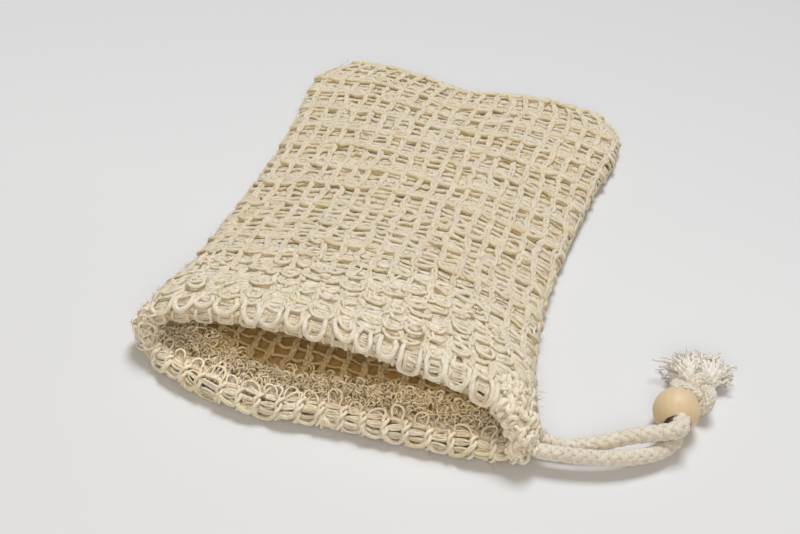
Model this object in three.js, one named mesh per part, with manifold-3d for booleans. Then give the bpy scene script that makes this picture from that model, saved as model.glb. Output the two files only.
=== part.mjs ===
// A knitted sisal soap pouch that lies on its back with its mouth a little open.
// A cotton drawstring runs in the hem of the mouth, leaves it at one corner, passes
// through a wooden bead and ends in a knot with frayed ends. Millimetres, +Z up.
import * as THREE from "three";
import { mergeVertices } from "three/addons/utils/BufferGeometryUtils.js";
import Module from "manifold-3d";

const wasm = await Module();
wasm.setup();

// Driving sizes of the pouch
const LENGTH = 133.5; // from the mouth to the closed end
const CLOTH = 2.4; // the knit's own thickness
const WALES = 40; // columns of stitches around the pouch
const CORNER = 14; // radius of the two closed corners
const HEM_DEPTH = 12;
const HEM_THICKNESS = 6.2; // two layers of knit with the drawstring between them
const MOUTH_REACH = 60; // the mouth's own curve fades out this far along the pouch
const CROWN_LEAN = 0.2; // the upper layer is this much fuller towards the right
const LAID = 0.6; // what comes this near the surface lies flat on it

// The pouch at some distances from its mouth: where its side folds lie across, how
// high they lie above the surface, how much the upper layer arches over the lower
// one, and the share of the columns that the upper layer holds
const SECTIONS = [
  { along: 0, left: -50.4, right: 46.2, leftFold: 7, rightFold: 6.6, arch: 7.4, share: 0.47 },
  { along: 13, left: -49.8, right: 44.3, leftFold: 6.6, rightFold: 6.4, arch: 7.4, share: 0.472 },
  { along: 30, left: -48.2, right: 40.6, leftFold: 4.4, rightFold: 4.2, arch: 8.4, share: 0.476 },
  { along: 50, left: -47.2, right: 39.2, leftFold: 3.3, rightFold: 3.3, arch: 8, share: 0.484 },
  { along: 72, left: -45.2, right: 39.8, leftFold: 3.1, rightFold: 3.1, arch: 6.4, share: 0.495 },
  { along: 95, left: -44.8, right: 42.2, leftFold: 3.1, rightFold: 3.1, arch: 4.6, share: 0.51 },
  { along: 114, left: -46.2, right: 45.2, leftFold: 3.1, rightFold: 3.1, arch: 2.4, share: 0.518 },
  { along: 133.5, left: -46.4, right: 45.2, leftFold: 3.1, rightFold: 3.1, arch: 0, share: 0.5 },
];

// Across the pouch, from its left fold at -1 to its right fold at 1: how far the edge
// of the lower layer and of the upper layer lie behind the mouth, and how far the
// closed end stands out
const EDGES = [
  { across: -1, lower: 6.2, upper: 6.2, end: 0 },
  { across: -0.86, lower: 0.8, upper: 7.8, end: 1 },
  { across: -0.6, lower: -4, upper: 8.8, end: 1.5 },
  { across: -0.3, lower: -6, upper: 8.8, end: -0.5 },
  { across: 0, lower: -4.4, upper: 7.6, end: -2.4 },
  { across: 0.4, lower: -3, upper: 6.2, end: 1 },
  { across: 0.8, lower: -1.8, upper: 5, end: 0.6 },
  { across: 1, lower: 0.2, upper: 0.2, end: 0 },
];

// Soft cross ridges of the upper layer
const SWELLS = [
  { along: 44, width: 6, height: 0.5, slant: 3 },
  { along: 66, width: 5, height: 0.9, slant: -5 },
  { along: 84, width: 5, height: 1.1, slant: -4 },
  { along: 104, width: 6, height: 1.1, slant: 4 },
];

// Thick rows of yarn, close together behind the hem and wider apart beyond
const ROWS = [8, 12.2, 16.4, 20.8, 25.6, 31, 37.4, 45, 53.4, 62, 71, 80, 89, 98, 107, 115.5, 123];
const ROW_CREST = 0.45;
const ROW_VALLEY = 0.35;

// The cloth turns inwards at the rim: its rings from the outer face to the hem's inner
// edge, how far each lies below the outer face, and how far the loops of yarn along the
// rim stand out in it
const SCALLOP = 0.7;
const RIM = [
  { along: 2.4, depth: 0, scallop: SCALLOP / 2 },
  { along: 0.4, depth: 0.3, scallop: SCALLOP },
  { along: -0.8, depth: 1.6, scallop: SCALLOP },
  { along: -0.8, depth: HEM_THICKNESS - 1.6, scallop: SCALLOP },
  { along: 0.6, depth: HEM_THICKNESS, scallop: SCALLOP },
  { along: 4, depth: HEM_THICKNESS, scallop: 0 },
  { along: 8, depth: HEM_THICKNESS, scallop: 0 },
  { along: HEM_DEPTH - 1, depth: HEM_THICKNESS, scallop: 0 },
  { along: HEM_DEPTH + 0.5, depth: (HEM_THICKNESS + CLOTH) / 2, scallop: 0.5 },
];
const INNER_RINGS = [15, 24, 36, 50, 66, 82, 98, 112, 124]; // behind the hem
const END_RINGS = [0.12, 0.9, 2.4, 5.5]; // before the closed end, where the skin rounds

// Drawstring and bead
const CORD = 3.6; // diameter of the drawstring
const CORD_DEPTH = 5; // how far behind the rim the drawstring runs in the hem
const CLEARANCE = 0.35; // between the drawstring and the hem around it
const GAP = 0.3; // between pieces that meet
const BEAD = { diameter: 10.8, hole: 6, at: [75.4, 24, 5.4], turn: 0.2 };
const STACK = 1.95; // height of each strand's end above or below the middle of the hole
const NECK = 5.2; // both strands squeezed together inside the hole
const NECK_FRONT = 4.6; // how far the neck reaches before the bead's centre
const NECK_BACK = 5.9; // and how far behind it

// The drawstring's two free strands, from the bead to the corner of the mouth and from
// there back to the bead, and the places around the hem that it passes in between, as
// points of a ring: through the lower layer, and back through the upper one
const FRONT_STRAND = [
  [76.4, 17.2, 3.3],
  [74.9, 14.2, 3.1],
  [72.3, 11.4, 3.3],
  [68.9, 9, 3.6],
  [63.6, 6.3, 4.1],
  [58.2, 4.6, 4.5],
  [52.7, 3.4, 4.7],
  [47.3, 2.9, 4.5],
  [42, 3.9, 3.5],
];
const BACK_STRAND = [
  [41.2, 6.2, 10.2],
  [44.8, 6.6, 7.6],
  [47.2, 6.9, 4.9],
  [49.6, 7, 3.3],
  [52.4, 7.3, 2.7],
  [57.3, 8.7, 3.4],
  [62, 10.7, 4.4],
  [66.2, 12.8, 5.2],
  [71.3, 14.5, 6.4],
  [75.1, 15.9, 7.1],
  [76.9, 17.4, 7.3],
];
const IN_LOWER_HEM = [42, 45, 49, 53, 57, 61, 65, 69, 72, 74.5, 76, 77, 78, 79];
const IN_UPPER_HEM = [0, 1, 2, 3.5, 6, 9, 13, 17, 21, 25, 29, 32];

// The knot behind the bead and the frayed ends of the drawstring
const KNOT = { at: [79.5, 32.2, 4.1], width: 4, depth: 4, height: 2.1, turn: 0.53 };
const FRAYED_ENDS = [
  { at: [77.3, 36.6, 3.3], towards: 2.1, fan: 0.95, strands: 27 },
  { at: [81.3, 37, 3.1], towards: 0.85, fan: 0.85, strands: 27 },
];
const STRAND = { radius: 0.36, length: 11.8, lift: 0.6, droop: 0.09, sides: 3, steps: 3 };

// Reads a column of a table at a place between its rows, along a smooth curve.
function read(table, key, column, place) {
  const last = table.length - 1;
  const at = THREE.MathUtils.clamp(place, table[0][key], table[last][key]);
  let row = 0;
  while (row < last - 1 && table[row + 1][key] < at) row += 1;
  const slope = (i) => {
    const before = table[Math.max(i - 1, 0)];
    const after = table[Math.min(i + 1, last)];
    return (after[column] - before[column]) / (after[key] - before[key]);
  };
  const from = table[row];
  const to = table[row + 1];
  const span = to[key] - from[key];
  const t = (at - from[key]) / span;
  const smooth = t * t * (3 - 2 * t);
  const rise = t * (1 - t) * ((1 - t) * slope(row) - t * slope(row + 1)) * span;
  return from[column] + (to[column] - from[column]) * smooth + rise;
}

// One layer of the pouch's mid-surface at one distance from the mouth. It runs from
// the left fold to the right one.
class Layer extends THREE.Curve {
  constructor(along, side) {
    super();
    this.along = along;
    this.side = side; // 1 is the upper layer, -1 the lower one
    this.arcLengthDivisions = 160;
    const inset = Math.max(along - (LENGTH - CORNER), 0);
    const corner = CORNER - Math.sqrt(Math.max(CORNER * CORNER - inset * inset, 0));
    this.left = read(SECTIONS, "along", "left", along) + corner;
    this.right = read(SECTIONS, "along", "right", along) - corner;
    this.leftFold = read(SECTIONS, "along", "leftFold", along);
    this.rightFold = read(SECTIONS, "along", "rightFold", along);
    this.arch = read(SECTIONS, "along", "arch", along);
  }

  getPoint(t, target = new THREE.Vector3()) {
    const { along, side } = this;
    const across = Math.sin(Math.PI * (t - 0.5));
    const half = (across + 1) / 2;
    const foldHeight = THREE.MathUtils.lerp(this.leftFold, this.rightFold, half);
    const radius = foldHeight - CLOTH / 2;
    const width = this.right - this.left;
    const closing = THREE.MathUtils.clamp((along - LENGTH + radius) / radius, 0, 1);
    const roundness = Math.sqrt(1 - closing * closing);
    const fullness = Math.sqrt(1 - Math.abs(across) ** (width / radius)) * roundness;

    const edge = read(EDGES, "across", side > 0 ? "upper" : "lower", across);
    const mouth = Math.max(1 - along / MOUTH_REACH, 0) ** 2;
    const end = THREE.MathUtils.smoothstep(along, LENGTH / 2, LENGTH);
    const y = along + edge * mouth + read(EDGES, "across", "end", across) * end;

    let z = foldHeight + side * radius * fullness;
    if (side > 0) {
      const crown = (1 - across * across) * (1 + CROWN_LEAN * across);
      z += this.arch * crown;
      for (const swell of SWELLS) {
        const off = (along - swell.along - swell.slant * across) / swell.width;
        z += swell.height * crown * Math.exp(-off * off);
      }
    }
    return target.set(this.left + width * half, y, z);
  }
}

// The mid-surface at one distance from the mouth, as a function of the share of the
// way around it: from the left fold over the top to the right fold and back below.
function section(along) {
  const upper = new Layer(along, 1);
  const lower = new Layer(along, -1);
  const share = read(SECTIONS, "along", "share", along);
  return (around) => {
    const w = around - Math.floor(around);
    return w < share
      ? upper.getPointAt(w / share)
      : lower.getPointAt(1 - (w - share) / (1 - share));
  };
}

// A ring of points around the pouch. Each lies off the mid-surface, outwards where
// offset is above 0; shift moves it along the pouch.
const STEP = 0.4; // small step along the pouch, for the surface's direction
function ring({ along, offset, scallop = 0, laid = false }) {
  const count = 2 * WALES;
  const curves = [-scallop, scallop].map((shift) => ({
    before: section(along + shift - STEP),
    here: section(along + shift),
    after: section(along + shift + STEP),
  }));
  return Array.from({ length: count }, (_, k) => {
    const { before, here, after } = curves[k % 2];
    const w = k / count;
    const lengthwise = after(w).sub(before(w));
    const crosswise = here(w + 0.5 / count).sub(here(w - 0.5 / count));
    const normal = crosswise.cross(lengthwise).normalize();
    const point = here(w).addScaledVector(normal, offset);
    if (laid && point.z < LAID) point.z = 0;
    return point;
  });
}

// Joins rings into one closed surface. The first and last ring are flat loops that
// are closed across their own width.
function closedSkin(rings) {
  const count = rings[0].length;
  const positions = rings.flat().flatMap((p) => p.toArray());
  const index = [];
  const at = (r, k) => r * count + ((k + count) % count);
  for (let r = 0; r + 1 < rings.length; r += 1)
    for (let k = 0; k < count; k += 1) {
      index.push(at(r, k), at(r + 1, k), at(r, k + 1));
      index.push(at(r, k + 1), at(r + 1, k), at(r + 1, k + 1));
    }
  const last = rings.length - 1;
  for (let k = 0; k < count / 2; k += 1) {
    const quads = [
      [at(0, k), at(0, -k), at(0, k + 1), at(0, -k - 1)],
      [at(last, k), at(last, k + 1), at(last, -k), at(last, -k - 1)],
    ];
    for (const [a, b, c, d] of quads) index.push(a, c, b, b, c, d);
  }
  const kept = [];
  for (let i = 0; i < index.length; i += 3) {
    const [a, b, c] = index.slice(i, i + 3);
    if (a !== b && b !== c && c !== a) kept.push(a, b, c);
  }
  const geometry = new THREE.BufferGeometry();
  geometry.setAttribute("position", new THREE.Float32BufferAttribute(positions, 3));
  geometry.setIndex(kept);
  return geometry;
}

function toSolid(geometry) {
  const plain = geometry.clone();
  plain.deleteAttribute("normal");
  plain.deleteAttribute("uv");
  const merged = mergeVertices(plain, 1e-4);
  return new wasm.Manifold(
    new wasm.Mesh({
      numProp: 3,
      vertProperties: new Float32Array(merged.attributes.position.array),
      triVerts: new Uint32Array(merged.index.array),
    }),
  );
}

function toGeometry(solid) {
  const mesh = solid.getMesh();
  const geometry = new THREE.BufferGeometry();
  geometry.setAttribute("position", new THREE.BufferAttribute(mesh.vertProperties, 3));
  geometry.setIndex(new THREE.BufferAttribute(mesh.triVerts, 1));
  geometry.computeVertexNormals();
  return geometry;
}

function polygon(sides, radius) {
  const points = Array.from({ length: sides }, (_, i) => {
    const angle = (2 * Math.PI * i) / sides;
    return new THREE.Vector2(radius * Math.cos(angle), radius * Math.sin(angle));
  });
  return new THREE.Shape(points);
}

function tube(path, radius, sides, steps) {
  return new THREE.ExtrudeGeometry(polygon(sides, radius), {
    extrudePath: path,
    steps,
    bevelEnabled: false,
  });
}

// A place in line with the bead's hole: so far before its centre, and so far above.
const beadCentre = new THREE.Vector3(...BEAD.at);
function onHole(before, above = 0) {
  const hole = new THREE.Vector3(Math.sin(BEAD.turn), -Math.cos(BEAD.turn), 0);
  const point = beadCentre.clone().addScaledVector(hole, before);
  point.z += above;
  return point;
}

// The drawstring's way: from the bead to the corner of the mouth, once around in the
// hem, out of the same corner and back to the bead.
function drawstringPath() {
  const middle = CLOTH / 2 - HEM_THICKNESS / 2;
  const hem = ring({ along: CORD_DEPTH, offset: middle });
  const inHem = [...IN_LOWER_HEM, ...IN_UPPER_HEM].map((k) => {
    const next = hem[Math.ceil(k) % hem.length];
    return hem[Math.floor(k)].clone().lerp(next, k % 1);
  });
  const vector = (point) => new THREE.Vector3(...point);
  const start = onHole(NECK_FRONT, -STACK);
  const end = onHole(NECK_FRONT, STACK);
  const front = FRONT_STRAND.map(vector);
  const back = BACK_STRAND.map(vector);
  const points = [start, ...front, ...inHem, ...back, end];
  const path = new THREE.CatmullRomCurve3(points, false, "centripetal");
  path.arcLengthDivisions = 600;
  return path;
}

function named(name, geometry, look) {
  const mesh = new THREE.Mesh(geometry, look);
  mesh.name = name;
  return mesh;
}

// The whole skin, from the closed end forwards over the rows of yarn, in at the rim and
// back along the inside
function pouchSkin() {
  const outer = CLOTH / 2;
  const inner = -CLOTH / 2;
  const rings = END_RINGS.map((back) => {
    return { along: LENGTH - back, offset: outer, laid: true };
  });
  for (let i = ROWS.length - 1; i >= 0; i -= 1) {
    const next = i > 0 ? ROWS[i - 1] : RIM[0].along;
    const valley = (ROWS[i] + next) / 2;
    rings.push({ along: ROWS[i], offset: outer + ROW_CREST, laid: true });
    rings.push({ along: valley, offset: outer - ROW_VALLEY, laid: true });
  }
  for (const { along, depth, scallop } of RIM) {
    rings.push({ along, offset: outer - depth, scallop, laid: depth < CLOTH / 2 });
  }
  for (const along of INNER_RINGS) rings.push({ along, offset: inner });
  for (const back of END_RINGS.toReversed()) {
    rings.push({ along: LENGTH - back, offset: inner });
  }
  return closedSkin(rings.map(ring));
}

const CORD_SIDES = 8;
const CORD_STEPS = 78; // along the whole drawstring
function drawstringTube(radius) {
  return tube(drawstringPath(), radius, CORD_SIDES, CORD_STEPS);
}

// The knit with the tunnel that the drawstring runs in
function pouchGeometry() {
  const tunnel = toSolid(drawstringTube(CORD / 2 + CLEARANCE));
  return toGeometry(toSolid(pouchSkin()).subtract(tunnel));
}

// The drawstring up to the bead, with both ends cut square to the hole
function drawstringGeometry() {
  const cut = new THREE.LineCurve3(onHole(NECK_FRONT + GAP), onHole(0));
  const whole = toSolid(drawstringTube(CORD / 2));
  return toGeometry(whole.subtract(toSolid(tube(cut, CORD + STACK, CORD_SIDES, 1))));
}

// A ball with a wide hole along its own Y axis
function beadGeometry() {
  const radius = BEAD.diameter / 2;
  const hole = BEAD.hole / 2;
  const edge = 0.3; // rounding of the hole's rims
  const steps = 12;
  const rim = Math.acos((hole + edge) / radius);
  const profile = [];
  for (let i = 0; i <= steps; i += 1) {
    const angle = -rim + (2 * rim * i) / steps;
    profile.push(new THREE.Vector2(radius * Math.cos(angle), radius * Math.sin(angle)));
  }
  const wall = radius * Math.sin(rim) - edge;
  profile.push(new THREE.Vector2(hole, wall), new THREE.Vector2(hole, -wall));
  profile.push(profile[0].clone());
  return new THREE.LatheGeometry(profile, 28);
}

// Both ends of the drawstring, knotted behind the bead, with the neck that fills the
// bead's hole, and the strands into which the ends are frayed
function knotGeometry() {
  const centre = new THREE.Vector3(...KNOT.at);
  const onKnot = (t) => {
    const x = (KNOT.width * (Math.sin(t) + 2 * Math.sin(2 * t))) / 3;
    const y = (KNOT.depth * (Math.cos(t) - 2 * Math.cos(2 * t))) / 3;
    const flat = new THREE.Vector3(x, y, -KNOT.height * Math.sin(3 * t));
    return flat.applyAxisAngle(new THREE.Vector3(0, 0, 1), KNOT.turn).add(centre);
  };
  const parts = [];
  const lobe = (2 * Math.PI) / 3;
  const overlap = 0.15;
  const places = 8; // along each lobe
  for (let i = 0; i < 3; i += 1) {
    const points = Array.from({ length: places + 1 }, (_, j) =>
      onKnot(lobe * i - overlap + ((lobe + 2 * overlap) * j) / places),
    );
    parts.push(tube(new THREE.CatmullRomCurve3(points), CORD / 2, CORD_SIDES, places - 1));
  }
  const neck = new THREE.LineCurve3(onHole(NECK_FRONT), onHole(-NECK_BACK));
  parts.push(tube(neck, NECK / 2, 2 * CORD_SIDES, 1));
  const link = new THREE.QuadraticBezierCurve3(
    onHole(1 - NECK_BACK),
    onHole(-NECK_BACK - 1.5),
    centre,
  );
  parts.push(tube(link, NECK / 2 - 0.2, CORD_SIDES, 3));
  for (const frayed of FRAYED_ENDS) {
    const head = new THREE.Vector3(...frayed.at);
    parts.push(tube(new THREE.LineCurve3(centre, head), CORD / 2, CORD_SIDES, 1));
    const backing = new THREE.SphereGeometry(CORD / 2 + 0.3, 10, 6);
    parts.push(backing.translate(...frayed.at));
    for (let i = 0; i < frayed.strands; i += 1) parts.push(strandGeometry(frayed, i));
  }
  return toGeometry(filled(parts.map(toSolid).reduce((all, next) => all.add(next))));
}

// A solid without the hollows that it closes in.
function filled(solid) {
  const outer = solid.decompose().filter((body) => body.volume() > 0);
  return outer.reduce((all, next) => all.add(next));
}

// One frayed strand. It leaves the cord's end in its own direction of the fan, droops,
// and rests level on the surface where it comes down to it.
function strandGeometry(frayed, i) {
  const golden = (i * 0.618034) % 1;
  const even = (i + 0.5) / frayed.strands;
  const heading = frayed.towards + frayed.fan * (2 * golden - 1);
  const rise = STRAND.lift * (1.5 * even - 0.35);
  const length = STRAND.length * (0.5 + 0.4 * Math.sin(heading) + 0.1 * Math.cos(5.1 * i));
  const start = new THREE.Vector3(...frayed.at);
  const direction = new THREE.Vector3(Math.cos(heading), Math.sin(heading), Math.tan(rise));
  const middle = start.clone().addScaledVector(direction.normalize(), 0.55 * length);
  const end = start.clone().addScaledVector(direction, length);
  end.z -= STRAND.droop * length * (1 + even);
  const lowest = STRAND.radius + 0.02;
  for (const point of [middle, end]) point.z = Math.max(point.z, lowest);
  const path = new THREE.QuadraticBezierCurve3(start, middle, end);
  return tube(path, STRAND.radius, STRAND.sides, STRAND.steps);
}

const sisal = new THREE.MeshStandardMaterial({ color: 0xd9c9a3, roughness: 0.95 });
const cotton = new THREE.MeshStandardMaterial({ color: 0xe4dccb, roughness: 0.9 });
const wood = new THREE.MeshStandardMaterial({ color: 0xdcbc85, roughness: 0.45 });

const pouch = named("pouch", pouchGeometry(), sisal);
const drawstring = named("drawstring", drawstringGeometry(), cotton);
const bead = named("bead", beadGeometry(), wood);
bead.position.copy(beadCentre);
bead.rotation.z = BEAD.turn;
const knot = named("knot", knotGeometry(), cotton);

// The origin is on the surface, below the middle of the pouch
const middle = new THREE.Box3().setFromObject(pouch).getCenter(new THREE.Vector3());
const part = new THREE.Group();
part.add(pouch, drawstring, bead, knot);
part.position.set(-middle.x, -middle.y, 0);
export default part;
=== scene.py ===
"""A knitted sisal soap pouch that lies on its back, with its cotton drawstring and bead.

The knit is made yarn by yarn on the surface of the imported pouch. Sizes are in
millimetres, in the frame of the pouch's mouth, until a mesh is made.
"""

import math

import bpy
import numpy as np
from mathutils import Matrix, Vector


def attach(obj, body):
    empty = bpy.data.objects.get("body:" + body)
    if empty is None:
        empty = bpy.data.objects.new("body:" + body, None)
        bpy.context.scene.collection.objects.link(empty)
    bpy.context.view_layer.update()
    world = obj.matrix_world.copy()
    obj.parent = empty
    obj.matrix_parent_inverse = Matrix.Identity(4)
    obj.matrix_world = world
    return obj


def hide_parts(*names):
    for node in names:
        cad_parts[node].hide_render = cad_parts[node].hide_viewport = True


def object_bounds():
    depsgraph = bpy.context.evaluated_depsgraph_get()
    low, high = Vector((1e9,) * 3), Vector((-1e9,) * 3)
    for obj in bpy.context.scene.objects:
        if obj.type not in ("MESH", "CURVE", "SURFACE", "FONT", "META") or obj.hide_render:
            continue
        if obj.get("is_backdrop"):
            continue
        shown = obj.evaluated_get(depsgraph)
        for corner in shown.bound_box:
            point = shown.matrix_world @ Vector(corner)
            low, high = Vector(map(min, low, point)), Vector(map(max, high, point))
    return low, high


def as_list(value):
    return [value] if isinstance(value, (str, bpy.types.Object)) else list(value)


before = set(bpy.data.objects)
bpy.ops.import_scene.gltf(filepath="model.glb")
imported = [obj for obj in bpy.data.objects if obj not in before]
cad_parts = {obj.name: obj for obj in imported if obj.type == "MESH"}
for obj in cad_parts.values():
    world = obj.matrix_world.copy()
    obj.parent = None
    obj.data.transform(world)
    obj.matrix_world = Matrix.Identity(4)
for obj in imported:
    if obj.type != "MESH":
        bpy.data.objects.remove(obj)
cad_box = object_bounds()

MM = 0.001
MOUTH = np.array([2.365, -64.086, 0.0])  # where the mouth's own frame lies in the model
random = np.random.default_rng(11)


def in_model(points):
    """Places in the mouth's frame, as metres in the model."""
    return (points + MOUTH) * MM


def way_along(points):
    """How far each point of a line lies from its start, along the line."""
    steps = np.linalg.norm(np.diff(points, axis=-2), axis=-1)
    return np.concatenate([0 * steps[..., :1], steps.cumsum(-1)], -1)


def on_line(points, way, at):
    """Places on a line, where way is as way_along tells."""
    return np.stack([np.interp(at, way, points[:, i]) for i in range(3)], -1)


def turned(x, y, angle):
    """x and y after a turn by an angle."""
    cos, sin = math.cos(angle), math.sin(angle)
    return x * cos - y * sin, x * sin + y * cos


def varied(n, middle, spread):
    """A number for each of n yarns, about a middle."""
    return middle + spread * random.normal(size=(n, 1))


def smoothed(noise):
    """Noise in which neighbours along a row are more alike."""
    return (np.roll(noise, 1, 1) + 2 * noise + np.roll(noise, -1, 1)) / 4


def link(thing):
    bpy.context.scene.collection.objects.link(thing)


def set_attributes(mesh, **values):
    """Numbers at the mesh's points, which its material reads by their name."""
    for name, numbers in values.items():
        attribute = mesh.attributes.new(name, "FLOAT", "POINT")
        attribute.data.foreach_set("value", numbers.reshape(-1).astype(np.float32))


def as_piece(name, mesh, material):
    """Makes a smooth piece of the object from a mesh."""
    mesh.polygons.foreach_set("use_smooth", np.ones(len(mesh.polygons), bool))
    mesh.materials.append(material)
    piece = bpy.data.objects.new(name, mesh)
    link(piece)
    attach(piece, "root")
    return piece


# The pouch's surface, as its solid has it
LENGTH = 133.5
CLOTH = 2.4
CORNER = 14.0
WALES = 40
HEM_THICKNESS = 6.2
MOUTH_REACH = 60.0
CROWN_LEAN = 0.2


def table(columns, *rows):
    return dict(zip(columns.split(), np.array(rows, float).T))


SECTIONS = table(
    "along left right left_fold right_fold arch share",
    (0, -50.4, 46.2, 7, 6.6, 7.4, 0.47),
    (13, -49.8, 44.3, 6.6, 6.4, 7.4, 0.472),
    (30, -48.2, 40.6, 4.4, 4.2, 8.4, 0.476),
    (50, -47.2, 39.2, 3.3, 3.3, 8, 0.484),
    (72, -45.2, 39.8, 3.1, 3.1, 6.4, 0.495),
    (95, -44.8, 42.2, 3.1, 3.1, 4.6, 0.51),
    (114, -46.2, 45.2, 3.1, 3.1, 2.4, 0.518),
    (133.5, -46.4, 45.2, 3.1, 3.1, 0, 0.5),
)
EDGES = table(
    "across lower upper end",
    (-1, 6.2, 6.2, 0),
    (-0.86, 0.8, 7.8, 1),
    (-0.6, -4, 8.8, 1.5),
    (-0.3, -6, 8.8, -0.5),
    (0, -4.4, 7.6, -2.4),
    (0.4, -3, 6.2, 1),
    (0.8, -1.8, 5, 0.6),
    (1, 0.2, 0.2, 0),
)
SWELLS = ((44, 6, 0.5, 3), (66, 5, 0.9, -5), (84, 5, 1.1, -4), (104, 6, 1.1, 4))
ROWS = [8, 12.2, 16.4, 20.8, 25.6, 31, 37.4, 45, 53.4, 62, 71, 80, 89, 98, 107, 115.5, 123]


def read(rows, column, place):
    """Reads a column of a table at places in its first one, along a smooth curve."""
    xs, ys = next(iter(rows.values())), rows[column]
    last = len(xs) - 1
    at = np.clip(place, xs[0], xs[-1])
    row = np.clip(np.searchsorted(xs, at, side="left") - 1, 0, last - 1)
    before = np.maximum(np.arange(last + 1) - 1, 0)
    after = np.minimum(np.arange(last + 1) + 1, last)
    slope = (ys[after] - ys[before]) / (xs[after] - xs[before])
    span = xs[row + 1] - xs[row]
    t = (at - xs[row]) / span
    smooth = t * t * (3 - 2 * t)
    rise = t * (1 - t) * ((1 - t) * slope[row] - t * slope[row + 1]) * span
    return ys[row] + (ys[row + 1] - ys[row]) * smooth + rise


def unit(v):
    return v / np.maximum(np.linalg.norm(v, axis=-1, keepdims=True), 1e-9)


def layer(along, side, steps=321):
    """One layer of the mid-surface, from its left fold to its right one, for each
    distance from the mouth. side is 1 for the upper layer and -1 for the lower one."""
    along = along[:, None]
    t = np.linspace(0, 1, steps)[None, :]
    inset = np.maximum(along - (LENGTH - CORNER), 0)
    corner = CORNER - np.sqrt(np.maximum(CORNER**2 - inset**2, 0))
    names = "left", "right", "left_fold", "right_fold", "arch"
    left, right, left_fold, right_fold, arch = (read(SECTIONS, name, along) for name in names)
    left, right = left + corner, right - corner
    across = np.sin(np.pi * (t - 0.5)) + 0 * along
    half = (across + 1) / 2
    fold = left_fold + (right_fold - left_fold) * half
    radius = fold - CLOTH / 2
    width = right - left
    closing = np.clip((along - LENGTH + radius) / radius, 0, 1)
    fullness = np.sqrt(1 - np.abs(across) ** (width / radius)) * np.sqrt(1 - closing**2)
    edge = read(EDGES, "upper" if side > 0 else "lower", across)
    mouth = np.maximum(1 - along / MOUTH_REACH, 0) ** 2
    end = np.clip((along - LENGTH / 2) / (LENGTH / 2), 0, 1)
    end = end * end * (3 - 2 * end)
    y = along + edge * mouth + read(EDGES, "end", across) * end
    z = fold + side * radius * fullness
    if side > 0:
        crown = (1 - across**2) * (1 + CROWN_LEAN * across)
        z = z + arch * crown
        for place, wide, height, slant in SWELLS:
            z = z + height * crown * np.exp(-(((along - place - slant * across) / wide) ** 2))
    return np.stack([left + width * half, y, z], -1)


# The pouch's mid-surface as a fine grid, by distance from the mouth and by the share of
# the way around, from the left fold over the top and back below
GRID_FIRST = -3.0
GRID_STEP = 0.5
AROUND = 720


def surface():
    along = np.arange(GRID_FIRST, LENGTH + GRID_STEP / 2, GRID_STEP)
    upper, lower = layer(along, 1), layer(along, -1)
    w = np.arange(AROUND) / AROUND
    grid = np.zeros((len(along), AROUND, 3))
    for i, part in enumerate(read(SECTIONS, "share", along)):
        on_top = w < part
        for points, which, u in (
            (upper[i], on_top, w / part),
            (lower[i], ~on_top, 1 - (w - part) / (1 - part)),
        ):
            way = way_along(points)
            grid[i, which] = on_line(points, way / way[-1], u[which])
    return grid


SURFACE = surface()
LENGTHWISE = np.gradient(SURFACE, axis=0)
FORWARD = unit(LENGTHWISE)
OUTWARD = unit(np.cross(np.roll(SURFACE, -1, 1) - np.roll(SURFACE, 1, 1), LENGTHWISE))
GIRTH = np.linalg.norm(SURFACE - np.roll(SURFACE, 1, 1), axis=2).sum(1)


def on_surface(along, w):
    """Point, outward direction and direction along, at places on the mid-surface."""
    row = np.clip((along - GRID_FIRST) / GRID_STEP, 0, len(SURFACE) - 1.001)
    column = (w % 1.0) * AROUND
    i, j = row.astype(int), column.astype(int)
    a, b = (row - i)[..., None], (column - j)[..., None]
    j = j % AROUND
    k = (j + 1) % AROUND

    def mixed(grid):
        near = grid[i, j] * (1 - b) + grid[i, k] * b
        far = grid[i + 1, j] * (1 - b) + grid[i + 1, k] * b
        return near * (1 - a) + far * a

    return mixed(SURFACE), unit(mixed(OUTWARD)), unit(mixed(FORWARD))


# The hem's fold: s runs along the cloth, above 0 on the outside, then around the rim
FOLD_RADIUS = (HEM_THICKNESS - CLOTH) / 2
FOLD_AT = 2.3
FOLD = math.pi * FOLD_RADIUS


def wales_apart(s):
    """The distance between two wales, s from the rim."""
    along = FOLD_AT + np.maximum(s, 0)
    row = np.clip((along - GRID_FIRST) / GRID_STEP, 0, len(SURFACE) - 1)
    return GIRTH[row.astype(int)] / WALES


# The knit's unevenness is a sum of waves around the pouch and along it
WAVES = 14
WAVE_AROUND = random.integers(12, 62, WAVES) * random.choice([-1, 1], WAVES)
WAVE_ALONG = random.uniform(0.5, 1.9, WAVES)
WAVE_PHASE = random.uniform(0, math.tau, (2, WAVES))
UNEVEN = 0.07  # millimetres for each wave


def unevenness(s, w):
    """How far the knit is pulled along itself and across, in millimetres, at a place."""
    along, across = np.zeros(s.shape), np.zeros(s.shape)
    for k in range(WAVES):
        angle = WAVE_ALONG[k] * s + math.tau * WAVE_AROUND[k] * w
        along += np.sin(angle + WAVE_PHASE[0, k])
        across += np.sin(angle + WAVE_PHASE[1, k])
    fade = UNEVEN * np.clip((s + 6) / 12, 0.3, 1)
    return along * fade, across * fade


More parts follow.
